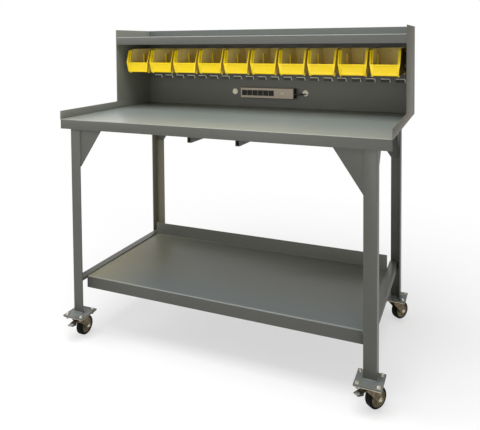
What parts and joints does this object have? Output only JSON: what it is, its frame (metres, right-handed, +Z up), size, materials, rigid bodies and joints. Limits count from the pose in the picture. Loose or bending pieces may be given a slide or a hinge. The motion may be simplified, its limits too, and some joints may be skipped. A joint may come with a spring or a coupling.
{
  "type": "mobile workbench",
  "caption": "Steel workbench on swivel casters with a lower shelf, side stops, and a riser with a louvred panel, hanging bins and a power strip.",
  "frame": {"origin": "centre of the footprint of the whole bench, on the floor under its wheels", "axes": "+X along the worktop to the right seen from its front, +Y from its front to its back, +Z up"},
  "size_m": [1.524, 0.8516, 1.456],
  "materials": {
    "grey_paint": "satin",
    "panel_paint": "satin",
    "yellow_plastic": "satin",
    "zinc_plating": "dull plating",
    "bright_plating": "bright plating",
    "black_tread": "matt",
    "black_plastic": "matt",
    "beige_paint": "satin",
    "cream_plastic": "satin"
  },
  "bodies": {
    "frame": {"worktop": "grey_paint", "side_plate_left": "grey_paint", "side_plate_right": "grey_paint", "riser_back_panel": "panel_paint", "riser_shelf": "grey_paint", "leg_front_left": "grey_paint", "gusset_front_left": "grey_paint", "side_gusset_front_left": "grey_paint", "leg_front_right": "grey_paint", "gusset_front_right": "grey_paint", "side_gusset_front_right": "grey_paint", "leg_rear_left": "grey_paint", "gusset_rear_left": "grey_paint", "side_gusset_rear_left": "grey_paint", "leg_rear_right": "grey_paint", "gusset_rear_right": "grey_paint", "side_gusset_rear_right": "grey_paint", "under_top_channel_1": "grey_paint", "under_top_channel_2": "grey_paint", "lower_shelf": "grey_paint", "shelf_rail_left": "grey_paint", "shelf_rail_right": "grey_paint", "leg_plate_front_left": "grey_paint", "caster_plate_front_left": "zinc_plating", "leg_plate_front_right": "grey_paint", "caster_plate_front_right": "zinc_plating", "leg_plate_rear_left": "grey_paint", "caster_plate_rear_left": "zinc_plating", "leg_plate_rear_right": "grey_paint", "caster_plate_rear_right": "zinc_plating", "power_strip_cover": "beige_paint", "socket_bar": "black_plastic", "strip_lead": "black_plastic", "bushing_left": "cream_plastic", "bushing_right": "cream_plastic"},
    "caster_front_left": {"caster_fork_front_left": "zinc_plating", "caster_axle_front_left": "bright_plating"},
    "wheel_front_left": {"caster_wheel_front_left": "black_tread"},
    "pedal_front_left": {"brake_pedal_front_left": "zinc_plating"},
    "caster_front_right": {"caster_fork_front_right": "zinc_plating", "caster_axle_front_right": "bright_plating"},
    "wheel_front_right": {"caster_wheel_front_right": "black_tread"},
    "pedal_front_right": {"brake_pedal_front_right": "zinc_plating"},
    "caster_rear_left": {"caster_fork_rear_left": "zinc_plating", "caster_axle_rear_left": "bright_plating"},
    "wheel_rear_left": {"caster_wheel_rear_left": "black_tread"},
    "caster_rear_right": {"caster_fork_rear_right": "zinc_plating", "caster_axle_rear_right": "bright_plating"},
    "wheel_rear_right": {"caster_wheel_rear_right": "black_tread"},
    "bin_01": {"bin_01": "yellow_plastic"},
    "bin_02": {"bin_02": "yellow_plastic"},
    "bin_03": {"bin_03": "yellow_plastic"},
    "bin_04": {"bin_04": "yellow_plastic"},
    "bin_05": {"bin_05": "yellow_plastic"},
    "bin_06": {"bin_06": "yellow_plastic"},
    "bin_07": {"bin_07": "yellow_plastic"},
    "bin_08": {"bin_08": "yellow_plastic"},
    "bin_09": {"bin_09": "yellow_plastic"},
    "bin_10": {"bin_10": "yellow_plastic"},
    "switch": {"switch_rocker": "cream_plastic"}
  },
  "joints": [
    {"name": "swivel_front_left", "type": "hinge", "parent": "frame", "child": "caster_front_left", "pos_m": [-0.678, -0.35576, 0.104], "axis": [0, 0, 1], "continuous": true},
    {"name": "wheel_spin_front_left", "type": "hinge", "parent": "caster_front_left", "child": "wheel_front_left", "pos_m": [-0.678, -0.32576, 0.043], "axis": [-1, 0, 0], "continuous": true},
    {"name": "brake_press_front_left", "type": "hinge", "parent": "caster_front_left", "child": "pedal_front_left", "pos_m": [-0.678, -0.37076, 0.086], "axis": [1, 0, 0], "range_deg": [0, 9]},
    {"name": "swivel_front_right", "type": "hinge", "parent": "frame", "child": "caster_front_right", "pos_m": [0.678, -0.35576, 0.104], "axis": [0, 0, 1], "continuous": true},
    {"name": "wheel_spin_front_right", "type": "hinge", "parent": "caster_front_right", "child": "wheel_front_right", "pos_m": [0.69605, -0.3318, 0.043], "axis": [-0.7986, 0.6018, 0], "continuous": true},
    {"name": "brake_press_front_right", "type": "hinge", "parent": "caster_front_right", "child": "pedal_front_right", "pos_m": [0.66897, -0.36774, 0.086], "axis": [0.7986, -0.6018, 0], "range_deg": [0, 9]},
    {"name": "swivel_rear_left", "type": "hinge", "parent": "frame", "child": "caster_rear_left", "pos_m": [-0.678, 0.36024, 0.104], "axis": [0, 0, 1], "continuous": true},
    {"name": "wheel_spin_rear_left", "type": "hinge", "parent": "caster_rear_left", "child": "wheel_rear_left", "pos_m": [-0.65995, 0.3842, 0.043], "axis": [-0.7986, 0.6018, 0], "continuous": true},
    {"name": "swivel_rear_right", "type": "hinge", "parent": "frame", "child": "caster_rear_right", "pos_m": [0.678, 0.36024, 0.104], "axis": [0, 0, 1], "continuous": true},
    {"name": "wheel_spin_rear_right", "type": "hinge", "parent": "caster_rear_right", "child": "wheel_rear_right", "pos_m": [0.69605, 0.3842, 0.043], "axis": [-0.7986, 0.6018, 0], "continuous": true},
    {"name": "bin_lift_01", "type": "slide", "parent": "frame", "child": "bin_01", "axis": [0, 0, 1], "range_m": [0, 0.02]},
    {"name": "bin_lift_02", "type": "slide", "parent": "frame", "child": "bin_02", "axis": [0, 0, 1], "range_m": [0, 0.02]},
    {"name": "bin_lift_03", "type": "slide", "parent": "frame", "child": "bin_03", "axis": [0, 0, 1], "range_m": [0, 0.02]},
    {"name": "bin_lift_04", "type": "slide", "parent": "frame", "child": "bin_04", "axis": [0, 0, 1], "range_m": [0, 0.02]},
    {"name": "bin_lift_05", "type": "slide", "parent": "frame", "child": "bin_05", "axis": [0, 0, 1], "range_m": [0, 0.02]},
    {"name": "bin_lift_06", "type": "slide", "parent": "frame", "child": "bin_06", "axis": [0, 0, 1], "range_m": [0, 0.02]},
    {"name": "bin_lift_07", "type": "slide", "parent": "frame", "child": "bin_07", "axis": [0, 0, 1], "range_m": [0, 0.02]},
    {"name": "bin_lift_08", "type": "slide", "parent": "frame", "child": "bin_08", "axis": [0, 0, 1], "range_m": [0, 0.02]},
    {"name": "bin_lift_09", "type": "slide", "parent": "frame", "child": "bin_09", "axis": [0, 0, 1], "range_m": [0, 0.02]},
    {"name": "bin_lift_10", "type": "slide", "parent": "frame", "child": "bin_10", "axis": [0, 0, 1], "range_m": [0, 0.02]},
    {"name": "switch_rock", "type": "hinge", "parent": "frame", "child": "switch", "pos_m": [0.092, 0.34699, 1.111], "axis": [0, 0, 1], "range_deg": [-12, 0]}
  ]
}
